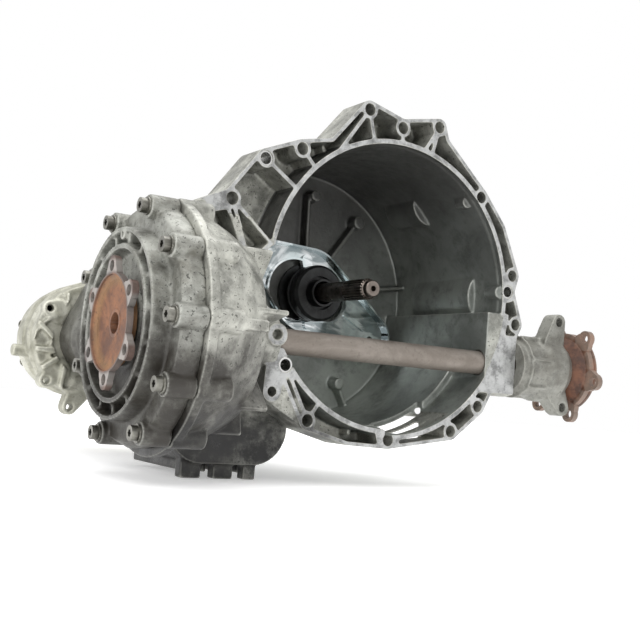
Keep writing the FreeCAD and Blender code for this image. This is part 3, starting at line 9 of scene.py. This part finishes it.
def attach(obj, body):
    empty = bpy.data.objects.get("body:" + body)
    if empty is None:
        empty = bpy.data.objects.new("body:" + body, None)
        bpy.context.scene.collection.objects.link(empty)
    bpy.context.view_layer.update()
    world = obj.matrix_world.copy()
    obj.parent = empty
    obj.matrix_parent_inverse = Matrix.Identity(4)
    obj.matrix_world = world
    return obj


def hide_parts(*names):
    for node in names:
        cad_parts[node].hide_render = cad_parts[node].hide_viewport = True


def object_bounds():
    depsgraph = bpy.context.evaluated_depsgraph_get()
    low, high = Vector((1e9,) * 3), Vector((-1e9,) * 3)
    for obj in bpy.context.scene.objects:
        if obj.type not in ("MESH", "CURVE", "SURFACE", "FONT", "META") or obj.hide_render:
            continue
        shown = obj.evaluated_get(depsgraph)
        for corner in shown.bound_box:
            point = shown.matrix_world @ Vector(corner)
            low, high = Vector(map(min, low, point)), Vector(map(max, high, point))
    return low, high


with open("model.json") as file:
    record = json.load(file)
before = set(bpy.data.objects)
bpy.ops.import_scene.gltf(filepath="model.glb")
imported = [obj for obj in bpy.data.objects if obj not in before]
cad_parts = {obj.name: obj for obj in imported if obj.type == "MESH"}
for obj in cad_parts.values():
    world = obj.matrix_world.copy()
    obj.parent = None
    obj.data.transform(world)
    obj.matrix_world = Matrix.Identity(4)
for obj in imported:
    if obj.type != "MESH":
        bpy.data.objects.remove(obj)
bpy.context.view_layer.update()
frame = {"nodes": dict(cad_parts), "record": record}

NODES = frame["nodes"]

# ---------------------------------------------------------------- camera, floor and light

AZIMUTH = math.radians(-31.93)
ELEVATION = math.radians(-3.31)
ROLL = math.radians(4.36)
CAMERA_PLACE = Vector((-0.6408, -0.8822, -0.1247))
LENS = 58.51
SHIFT = (0.0037, 0.0306)
FLOOR_WIDTH = 12.0
FLOOR_GAP = 0.0005


def add_object(name, data):
    thing = bpy.data.objects.new(name, data)
    bpy.context.scene.collection.objects.link(thing)
    return thing


def add_camera():
    data = bpy.data.cameras.new("view_camera")
    data.sensor_width = 36.0
    data.lens = LENS
    data.shift_x, data.shift_y = SHIFT
    data.clip_start = 0.01
    back = Vector((math.sin(AZIMUTH) * math.cos(ELEVATION), -math.cos(AZIMUTH) * math.cos(ELEVATION),
                   math.sin(ELEVATION)))
    level_right = (-back).cross(Vector((0, 0, 1))).normalized()
    level_up = level_right.cross(-back)
    right = math.cos(ROLL) * level_right + math.sin(ROLL) * level_up
    up = math.cos(ROLL) * level_up - math.sin(ROLL) * level_right
    camera = add_object("view_camera", data)
    turn = Matrix((right, up, back)).transposed()
    camera.matrix_world = Matrix.Translation(CAMERA_PLACE) @ turn.to_4x4()
    bpy.context.scene.camera = camera


def area_light(name, place, target, size, power, colour=(1.0, 1.0, 1.0)):
    data = bpy.data.lights.new(name, "AREA")
    data.shape = "RECTANGLE"
    data.size, data.size_y = size
    data.energy = power
    data.color = colour
    light = add_object(name, data)
    light.location = place
    light.rotation_euler = (Vector(target) - Vector(place)).to_track_quat("-Z", "Y").to_euler()


def add_studio():
    scene = bpy.context.scene
    scene.view_settings.view_transform = "Standard"
    world = bpy.data.worlds.new("studio")
    world.use_nodes = True
    world.node_tree.nodes["Background"].inputs["Color"].default_value = (1.0, 1.0, 1.0, 1.0)
    world.node_tree.nodes["Background"].inputs["Strength"].default_value = 1.0
    scene.world = world
    area_light("key", (-1.3, -1.5, 1.7), (-0.05, 0.1, 0.0), (1.2, 1.2), 20.0)
    area_light("top", (0.2, 0.3, 1.9), (0.0, 0.1, 0.0), (1.6, 1.6), 18.0)
    area_light("side", (-2.0, -0.2, 0.2), (-0.2, 0.0, -0.05), (0.9, 0.9), 5.0)
    low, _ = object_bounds()
    mesh = bpy.data.meshes.new("floor")
    half = FLOOR_WIDTH / 2.0
    z = low[2] - FLOOR_GAP
    corners = [(-half, -half, z), (half, -half, z), (half, half, z), (-half, half, z)]
    mesh.from_pydata(corners, [], [(0, 1, 2, 3)])
    floor = add_object("floor", mesh)
    paper = Paint("floor_paper")
    paper.plain((0.93, 0.93, 0.93), 0.9, 0.0)
    paper.shader.inputs["Emission Color"].default_value = (1, 1, 1, 1)
    paper.shader.inputs["Emission Strength"].default_value = 0.35
    floor.data.materials.append(paper.material)


# ---------------------------------------------------------------- materials

class Paint:
    """A node material under construction. Places are in metres in the part's own frame."""

    def __init__(self, name):
        self.material = bpy.data.materials.new(name)
        self.material.use_nodes = True
        self.tree = self.material.node_tree
        self.shader = self.tree.nodes["Principled BSDF"]
        self.place = self.node("ShaderNodeTexCoord").outputs["Object"]

    def node(self, kind, **settings):
        made = self.tree.nodes.new(kind)
        for key, value in settings.items():
            setattr(made, key, value)
        return made

    def join(self, source, target):
        self.tree.links.new(source, target)

    def plain(self, colour, roughness, metallic):
        self.shader.inputs["Base Color"].default_value = (*colour, 1.0)
        self.shader.inputs["Roughness"].default_value = roughness
        self.shader.inputs["Metallic"].default_value = metallic

    def noise(self, scale, detail=4.0, roughness=0.55, stretch=None, distortion=0.0):
        texture = self.node("ShaderNodeTexNoise")
        texture.inputs["Scale"].default_value = scale
        texture.inputs["Detail"].default_value = detail
        texture.inputs["Roughness"].default_value = roughness
        texture.inputs["Distortion"].default_value = distortion
        source = self.place
        if stretch:
            mapping = self.node("ShaderNodeMapping")
            mapping.inputs["Scale"].default_value = stretch
            self.join(source, mapping.inputs["Vector"])
            source = mapping.outputs["Vector"]
        self.join(source, texture.inputs["Vector"])
        return texture.outputs["Fac"]

    def span(self, value, low, high, start=0.0, end=1.0):
        """Smooth step of a value from low to high."""
        ramp = self.node("ShaderNodeMapRange", interpolation_type="SMOOTHSTEP")
        for index, number in ((1, low), (2, high), (3, start), (4, end)):
            ramp.inputs[index].default_value = number
        self.join(value, ramp.inputs[0])
        return ramp.outputs[0]

    def math(self, operation, first, second=None):
        made = self.node("ShaderNodeMath", operation=operation)
        for socket, item in zip(made.inputs, (first, second)):
            if item is None:
                continue
            if isinstance(item, (int, float)):
                socket.default_value = item
            else:
                self.join(item, socket)
        return made.outputs[0]

    def product(self, first, second):
        return self.math("MULTIPLY", first, second)

    def reach(self, first, second, centre=(0.0, 0.0)):
        """Distance of two coordinates from a centre."""
        squares = []
        for value, middle in zip((first, second), centre):
            away = self.math("SUBTRACT", value, middle)
            squares.append(self.math("POWER", self.math("ABSOLUTE", away), 2.0))
        return self.math("SQRT", self.math("ADD", *squares))

    def below(self, value, low, high):
        """1 below low, 0 above high."""
        return self.span(value, low, high, 1.0, 0.0)

    def mix(self, factor, first, second):
        """Mix of two colours, each a tuple or a socket."""
        made = self.node("ShaderNodeMix", data_type="RGBA")
        if isinstance(factor, (int, float)):
            made.inputs[0].default_value = factor
        else:
            self.join(factor, made.inputs[0])
        for socket, item in ((made.inputs[6], first), (made.inputs[7], second)):
            if isinstance(item, tuple):
                socket.default_value = (*item, 1.0)
            else:
                self.join(item, socket)
        return made.outputs[2]

    def axis(self, index, vector=None):
        """One coordinate of the place, or of another vector."""
        split = self.node("ShaderNodeSeparateXYZ")
        self.join(vector or self.place, split.inputs[0])
        return split.outputs[index]

    def edges(self, low=0.5, high=0.58):
        """1 on sharp convex edges."""
        return self.span(self.node("ShaderNodeNewGeometry").outputs["Pointiness"], low, high)

    def creases(self, low=0.42, high=0.5):
        """1 in concave corners."""
        return self.below(self.node("ShaderNodeNewGeometry").outputs["Pointiness"], low, high)

    def bump(self, height, strength, distance):
        made = self.node("ShaderNodeBump")
        made.inputs["Strength"].default_value = strength
        made.inputs["Distance"].default_value = distance
        self.join(height, made.inputs["Height"])
        self.join(made.outputs[0], self.shader.inputs["Normal"])

    def colour(self, source):
        self.join(source, self.shader.inputs["Base Color"])

    def rough(self, source):
        self.join(source, self.shader.inputs["Roughness"])

    def metal(self, source):
        self.join(source, self.shader.inputs["Metallic"])


def scaled(colour, factor):
    return tuple(min(1.0, channel * factor) for channel in colour)


# Bell interior colours: painted shade at the top, painted light at the lower right.
BELL_SHADED_TOP = (0.100, 0.100, 0.095)
BELL_LIT_LOW_RIGHT = (0.37, 0.395, 0.365)
MACHINED = (0.47, 0.475, 0.47)
OIL = (0.030, 0.0265, 0.0215)
BLACK_OIL = (0.006, 0.0055, 0.005)
BELL_REACH = (0.1565, 0.1575)
BOSS_PLACE = (-0.146, -0.065)
BOSS_RADIUS = 0.0116
BOSS_FACE_Y = -0.0152
DRIVE_PLACE = (0.0152, -0.0692)
DISH_RADIUS = 0.0435
LOBE_CIRCLE = 0.052


def add_oil(paint, colour, rough, metal, mottle, zone):
    """Oil below a level with an uneven rim, left of an x limit if the zone has one."""
    low, high, oil, limit = zone
    unevenness = paint.product(paint.math("SUBTRACT", mottle, 0.5), 0.10)
    wet = paint.below(paint.math("ADD", paint.axis(2), unevenness), low, high)
    if limit is not None:
        wet = paint.product(wet, paint.below(paint.axis(0), limit - 0.02, limit + 0.02))
    wet = paint.product(wet, paint.span(paint.noise(34.0, 8.0, 0.7), 0.30, 0.60, 0.55, 1.0))
    colour = paint.mix(wet, colour, oil)
    rough = paint.math("SUBTRACT", rough, paint.product(wet, 0.08))
    metal = paint.product(metal, paint.math("SUBTRACT", 1.0, paint.product(wet, 0.8)))
    return colour, rough, metal


def cast_paint(name, light, dark, crease_shade_and_dirt=0.4, specks=0.0, wet_zones=(), zones=None):
    """Sand-cast aluminium: mottled skin, pits, white bloom, painted shade and dirt in corners, a painted
    highlight with wear on edges, and oil below given levels.

    A wet zone is (low z, high z, oil colour, x limit or None).
    """
    paint = Paint(name)
    mottle = paint.noise(16.0, 9.0, 0.66, distortion=0.5)
    patch = paint.noise(75.0, 7.0, 0.68)
    blend = paint.math("ADD", paint.product(mottle, 0.6), paint.product(patch, 0.4))
    colour = paint.mix(paint.span(blend, 0.38, 0.62), dark, light)
    rough = paint.span(patch, 0.3, 0.7, 0.4, 0.62)
    metal = paint.span(blend, 0.3, 0.7, 0.45, 0.7)
    pits = paint.span(paint.noise(300.0, 4.0, 0.6), 0.58, 0.66)
    colour = paint.mix(paint.product(pits, specks), colour, scaled(dark, 0.25))
    bloom = paint.span(paint.noise(120.0, 8.0, 0.75), 0.57, 0.72)
    colour = paint.mix(paint.product(bloom, specks * 0.7), colour, scaled(light, 1.4))
    if zones:
        colour, rough = zones(paint, colour, rough)
    # Painted shade: concave corners are darkened towards the dark skin, merged with real grime patches.
    grime = paint.span(paint.noise(42.0, 9.0, 0.74), 0.47, 0.66)
    crease_shade_and_grime = paint.math("MAXIMUM", paint.creases(0.41, 0.495), paint.product(grime, 0.5))
    colour = paint.mix(paint.product(crease_shade_and_grime, crease_shade_and_dirt), colour, scaled(dark, 0.3))
    for zone in wet_zones:
        colour, rough, metal = add_oil(paint, colour, rough, metal, mottle, zone)
    # Painted highlight with edge wear: sharp convex edges are lightened past the light skin.
    colour = paint.mix(paint.product(paint.edges(0.515, 0.58), 0.4), colour, scaled(light, 1.5))
    paint.colour(colour)
    paint.rough(rough)
    paint.metal(metal)
    fine = paint.product(paint.noise(1000.0, 2.0, 0.5), 0.45)
    paint.bump(paint.math("ADD", fine, paint.noise(240.0, 6.0, 0.66)), 0.45, 0.0007)
    return paint.material


def housing_zones(paint, colour, rough):
    """Smooth grey-green bell interior with painted shade at its top and painted light towards its lower
    right, and bright machined faces with stains.
    """
    x, y, z = (paint.axis(index) for index in range(3))
    inside = paint.product(paint.below(paint.reach(x, z), *BELL_REACH), paint.span(y, 0.0004, 0.0012))
    # Painted light and shade: the bell wall darkens towards the top and lightens towards the lower right.
    low_right = paint.math("SUBTRACT", paint.product(x, 0.6), z)
    wall_painted_light = paint.mix(paint.span(low_right, -0.10, 0.15), BELL_SHADED_TOP, BELL_LIT_LOW_RIGHT)
    shade = paint.span(paint.noise(11.0, 8.0, 0.6, distortion=0.8), 0.36, 0.68, 0.0, 0.5)
    colour = paint.mix(inside, colour, paint.mix(shade, wall_painted_light, scaled(BELL_SHADED_TOP, 0.55)))
    rough = paint.math("SUBTRACT", rough, paint.product(inside, 0.12))
    normal = paint.node("ShaderNodeTexCoord").outputs["Normal"]
    facing = paint.below(paint.axis(1, normal), -0.985, -0.93)
    on_plane = paint.product(paint.below(y, 0.0002, 0.0005), paint.span(y, -0.001, -0.0004))
    in_boss = paint.below(paint.reach(x, z, BOSS_PLACE), BOSS_RADIUS, BOSS_RADIUS + 0.0005)
    on_boss = paint.product(in_boss, paint.below(y, BOSS_FACE_Y, BOSS_FACE_Y + 0.0006))
    face = paint.product(facing, paint.math("MAXIMUM", on_plane, on_boss))
    stain = paint.span(paint.noise(60.0, 8.0, 0.74), 0.44, 0.64)
    colour = paint.mix(face, colour, paint.mix(stain, MACHINED, scaled(MACHINED, 0.42)))
    rough = paint.math("SUBTRACT", rough, paint.product(face, 0.14))
    return colour, rough


def flange_paint(name):
    """Drive flange: ochre and red rust in the dish, dark red-grey lobes, a painted highlight of glints on
    the edges at the holes, and faint wear on other edges.
    """
    paint = Paint(name)
    radius = paint.reach(paint.axis(1), paint.axis(2), DRIVE_PLACE)
    blend = paint.noise(45.0, 10.0, 0.7, distortion=0.6)
    mottle = paint.span(blend, 0.36, 0.64)
    dish = paint.mix(mottle, (0.105, 0.042, 0.022), (0.265, 0.122, 0.064))
    ring = paint.product(paint.span(radius, 0.031, 0.040), paint.below(radius, 0.041, 0.0455))
    dish = paint.mix(paint.product(ring, 0.4), dish, (0.32, 0.200, 0.090))
    lobes = paint.mix(mottle, (0.048, 0.027, 0.022), (0.150, 0.088, 0.068))
    colour = paint.mix(paint.span(radius, DISH_RADIUS, DISH_RADIUS + 0.002), dish, lobes)
    spots = paint.span(paint.noise(240.0, 6.0, 0.7), 0.54, 0.68)
    colour = paint.mix(paint.product(spots, 0.6), colour, (0.045, 0.024, 0.018))
    # Painted highlight: edges near the bolt holes glint bright grey and more metallic, with faint real
    # wear on the other edges.
    from_holes = paint.math("ABSOLUTE", paint.math("SUBTRACT", radius, LOBE_CIRCLE))
    hole_glint = paint.product(paint.below(from_holes, 0.0035, 0.0075), 0.5)
    edge_wear_and_hole_glint = paint.product(paint.edges(0.505, 0.56), paint.math("ADD", hole_glint, 0.06))
    colour = paint.mix(edge_wear_and_hole_glint, colour, (0.62, 0.60, 0.57))
    paint.colour(colour)
    paint.rough(paint.span(blend, 0.3, 0.7, 0.45, 0.75))
    paint.metal(paint.span(edge_wear_and_hole_glint, 0.0, 0.5, 0.2, 0.9))
    paint.bump(paint.noise(420.0, 8.0, 0.7), 0.5, 0.0005)
    return paint.material


def shaft_paint(name):
    """Grey-brown oxidised tube whose flange end is red with rust."""
    paint = Paint(name)
    along = paint.noise(22.0, 9.0, 0.7, stretch=(0.6, 1.0, 1.0), distortion=0.8)
    colour = paint.mix(paint.span(along, 0.36, 0.66), (0.095, 0.083, 0.074), (0.200, 0.184, 0.168))
    rust = paint.span(paint.axis(0), 0.225, 0.252)
    blend = paint.noise(48.0, 9.0, 0.7)
    red = paint.mix(paint.span(blend, 0.36, 0.64), (0.060, 0.026, 0.016), (0.185, 0.082, 0.048))
    colour = paint.mix(rust, colour, red)
    spots = paint.span(paint.noise(230.0, 6.0, 0.7), 0.54, 0.68)
    colour = paint.mix(paint.product(spots, 0.6), colour, (0.035, 0.026, 0.020))
    # Painted highlight: sharp convex edges are lightened.
    colour = paint.mix(paint.product(paint.edges(), 0.3), colour, (0.42, 0.36, 0.30))
    paint.colour(colour)
    paint.rough(paint.span(blend, 0.3, 0.7, 0.42, 0.68))
    paint.metal(paint.span(rust, 0.0, 1.0, 0.5, 0.15))
    paint.bump(paint.noise(400.0, 8.0, 0.7), 0.4, 0.0004)
    return paint.material


def sheet_paint(name):
    """Bright plated sheet, faintly wavy from the press, with a thin bluish film, painted dark reflection
    bands and painted shade in its corners.
    """
    paint = Paint(name)
    film = paint.noise(14.0, 6.0, 0.5, distortion=1.2)
    colour = paint.mix(paint.span(film, 0.38, 0.62), (0.62, 0.70, 0.71), (0.86, 0.89, 0.90))
    # Painted shade: concave corners are darkened.
    colour = paint.mix(paint.product(paint.creases(0.40, 0.49), 0.6), colour, (0.10, 0.11, 0.11))
    # Painted reflection: stretched dark bands stand for the dark bell interior mirrored in the sheet.
    reflection_band = paint.span(paint.noise(17.0, 3.0, 0.5, stretch=(0.7, 1.0, 1.6), distortion=2.2), 0.46, 0.58)
    colour = paint.mix(paint.product(reflection_band, 0.72), colour, (0.13, 0.17, 0.18))
    scuff = paint.span(paint.noise(120.0, 8.0, 0.75), 0.56, 0.68)
    colour = paint.mix(paint.product(scuff, 0.35), colour, (0.32, 0.33, 0.32))
    paint.colour(colour)
    paint.rough(paint.span(scuff, 0.0, 1.0, 0.07, 0.24))
    paint.shader.inputs["Metallic"].default_value = 1.0
    paint.bump(paint.noise(18.0, 2.0, 0.4), 0.35, 0.002)
    return paint.material


def steel_paint(name, light, dark, low=0.22, high=0.42, metallic=1.0, stretch=(1.0, 1.0, 1.0)):
    paint = Paint(name)
    blend = paint.noise(60.0, 8.0, 0.65, stretch=stretch)
    colour = paint.mix(paint.span(blend, 0.35, 0.66), dark, light)
    # Painted highlight: sharp convex edges are lightened past the light colour.
    colour = paint.mix(paint.product(paint.edges(0.51, 0.6), 0.5), colour, scaled(light, 1.6))
    # Painted shade: concave corners are darkened.
    colour = paint.mix(paint.product(paint.creases(), 0.6), colour, scaled(dark, 0.3))
    paint.colour(colour)
    paint.rough(paint.span(paint.noise(150.0, 6.0, 0.7), 0.3, 0.7, low, high))
    paint.shader.inputs["Metallic"].default_value = metallic
    paint.bump(paint.noise(700.0, 3.0, 0.6, stretch=stretch), 0.2, 0.0002)
    return paint.material


def rubber_paint(name):
    paint = Paint(name)
    blend = paint.noise(80.0, 6.0)
    paint.colour(paint.mix(paint.span(blend, 0.35, 0.65), (0.012, 0.012, 0.012), (0.05, 0.048, 0.045)))
    paint.rough(paint.span(blend, 0.3, 0.7, 0.5, 0.75))
    paint.bump(paint.noise(600.0, 4.0), 0.3, 0.0003)
    return paint.material


# Cast finishes: light and dark skin, painted crease shade and dirt, pits and bloom, and oily zones
PAINTS = {
    "cast_housing": cast_paint(
        "housing_cast", (0.54, 0.54, 0.49), (0.17, 0.17, 0.15), crease_shade_and_dirt=0.8, specks=0.75, zones=housing_zones,
        wet_zones=((-0.095, -0.045, OIL, -0.15), (-0.165, -0.125, BLACK_OIL, -0.06))),
    "cast_case": cast_paint(
        "case_cast", (0.30, 0.30, 0.27), (0.12, 0.12, 0.105), crease_shade_and_dirt=0.8, specks=0.5,
        wet_zones=((-0.10, 0.02, OIL, None), (-0.16, -0.10, BLACK_OIL, None))),
    "cast_rear": cast_paint("rear_cast", (0.60, 0.595, 0.52), (0.34, 0.335, 0.27), crease_shade_and_dirt=0.75, specks=0.35),
    "cast_cover": cast_paint(
        "cover_cast", (0.42, 0.425, 0.39), (0.12, 0.117, 0.098), crease_shade_and_dirt=0.85, specks=0.8,
        wet_zones=((-0.100, -0.040, OIL, None),)),
    "cast_bracket": cast_paint(
        "bracket_cast", (0.32, 0.32, 0.29), (0.15, 0.145, 0.125), crease_shade_and_dirt=0.75, specks=0.4),
    "rusty_flange": flange_paint("flange_rust"),
    "rusty_shaft": shaft_paint("shaft_rust"),
    "zinc_sheet": sheet_paint("zinc_sheet_skin"),
    "black_steel": steel_paint(
        "black_steel_skin", (0.030, 0.031, 0.031), (0.010, 0.010, 0.010), 0.28, 0.45, 0.6),
    "seal_rubber": rubber_paint("seal_skin"),
    "shaft_steel": steel_paint("shaft_skin", (0.22, 0.19, 0.17), (0.06, 0.048, 0.04), 0.25, 0.45),
    "bolt_steel": steel_paint("bolt_skin", (0.24, 0.235, 0.21), (0.08, 0.076, 0.065), 0.3, 0.5),
    "bright_steel": steel_paint("bright_skin", (0.50, 0.50, 0.49), (0.28, 0.28, 0.27), 0.2, 0.35),
    "bearing_steel": steel_paint("bearing_skin", (0.6, 0.6, 0.6), (0.4, 0.4, 0.4), 0.15, 0.3),
    "shift_steel": steel_paint("shift_skin", (0.5, 0.5, 0.49), (0.3, 0.3, 0.29), 0.25, 0.4),
    "gear_steel": steel_paint("gear_skin", (0.5, 0.5, 0.51), (0.3, 0.3, 0.31), 0.18, 0.32),
}
SLOT_OF = {entry["node"]: entry["material_slot"] for entry in frame["record"]["subparts"]}


def paint_nodes():
    for name, node in NODES.items():
        node.data.materials.clear()
        node.data.materials.append(PAINTS[SLOT_OF[name]])


# ---------------------------------------------------------------- cast surfaces

def evaluated_mesh(thing):
    graph = bpy.context.evaluated_depsgraph_get()
    graph.update()
    return bpy.data.meshes.new_from_object(thing.evaluated_get(graph))


def coordinates(mesh):
    flat = np.zeros(len(mesh.vertices) * 3)
    mesh.vertices.foreach_get("co", flat)
    return flat.reshape(-1, 3)


def set_coordinates(mesh, places):
    mesh.vertices.foreach_set("co", places.ravel())
    mesh.update()


def shell_mesh(mesh, name, voxel, rounds):
    """The mesh remade in even facets, its corners rounded as a casting's are."""
    draft = add_object(name + "_draft", mesh)
    remesh = draft.modifiers.new("voxels", "REMESH")
    remesh.mode = "VOXEL"
    remesh.voxel_size = voxel
    soften = draft.modifiers.new("soften", "SMOOTH")
    soften.factor = 0.5
    soften.iterations = rounds
    result = evaluated_mesh(draft)
    bpy.data.objects.remove(draft)
    return result


FACE_DEPTH = 0.0024
ON_FACE = 0.00002


def casting(node, voxel, rounds, body, raise_face=None):
    """A rounded casting that stands for a CAD node.

    A machined face is raised before the corners are rounded and cut back flat afterwards.
    """
    mesh = NODES[node].data.copy()
    if raise_face:
        places = coordinates(mesh)
        on_face = raise_face(places, ON_FACE)
        places[on_face, 1] -= FACE_DEPTH
        set_coordinates(mesh, places)
    mesh = shell_mesh(mesh, node, voxel, rounds)
    if raise_face:
        places = coordinates(mesh)
        proud = raise_face(places, FACE_DEPTH + 0.0005)
        places[proud, 1] = np.maximum(places[proud, 1], 0.0)
        set_coordinates(mesh, places)
    mesh.materials.clear()
    mesh.materials.append(PAINTS[SLOT_OF[node]])
    mesh.polygons.foreach_set("use_smooth", [True] * len(mesh.polygons))
    mesh.name = node + "_casting"
    piece = add_object(node + "_casting", mesh)
    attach(piece, body)
    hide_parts(node)


def engine_face(places, depth):
    """Points on the engine face: near the mouth plane and outside the bowl and the proud boss."""
    x, y, z = places[:, 0], places[:, 1], places[:, 2]
    near = np.abs(y) < depth
    in_bowl = (x < -0.150) & (z < 0.045)
    in_boss = np.hypot(x - BOSS_PLACE[0], z - BOSS_PLACE[1]) < BOSS_RADIUS + 0.0009
    return near & ~in_bowl & ~in_boss


add_camera()
add_studio()
paint_nodes()
casting("clutch_housing", 0.0013, 6, "housing", engine_face)
for node, voxel, rounds in (
        ("gearbox_case", 0.0022, 5), ("rear_housing", 0.0018, 5), ("rear_cover", 0.0018, 5),
        ("differential_cover", 0.0014, 4), ("right_bracket", 0.0014, 4)):
    casting(node, voxel, rounds, "housing")
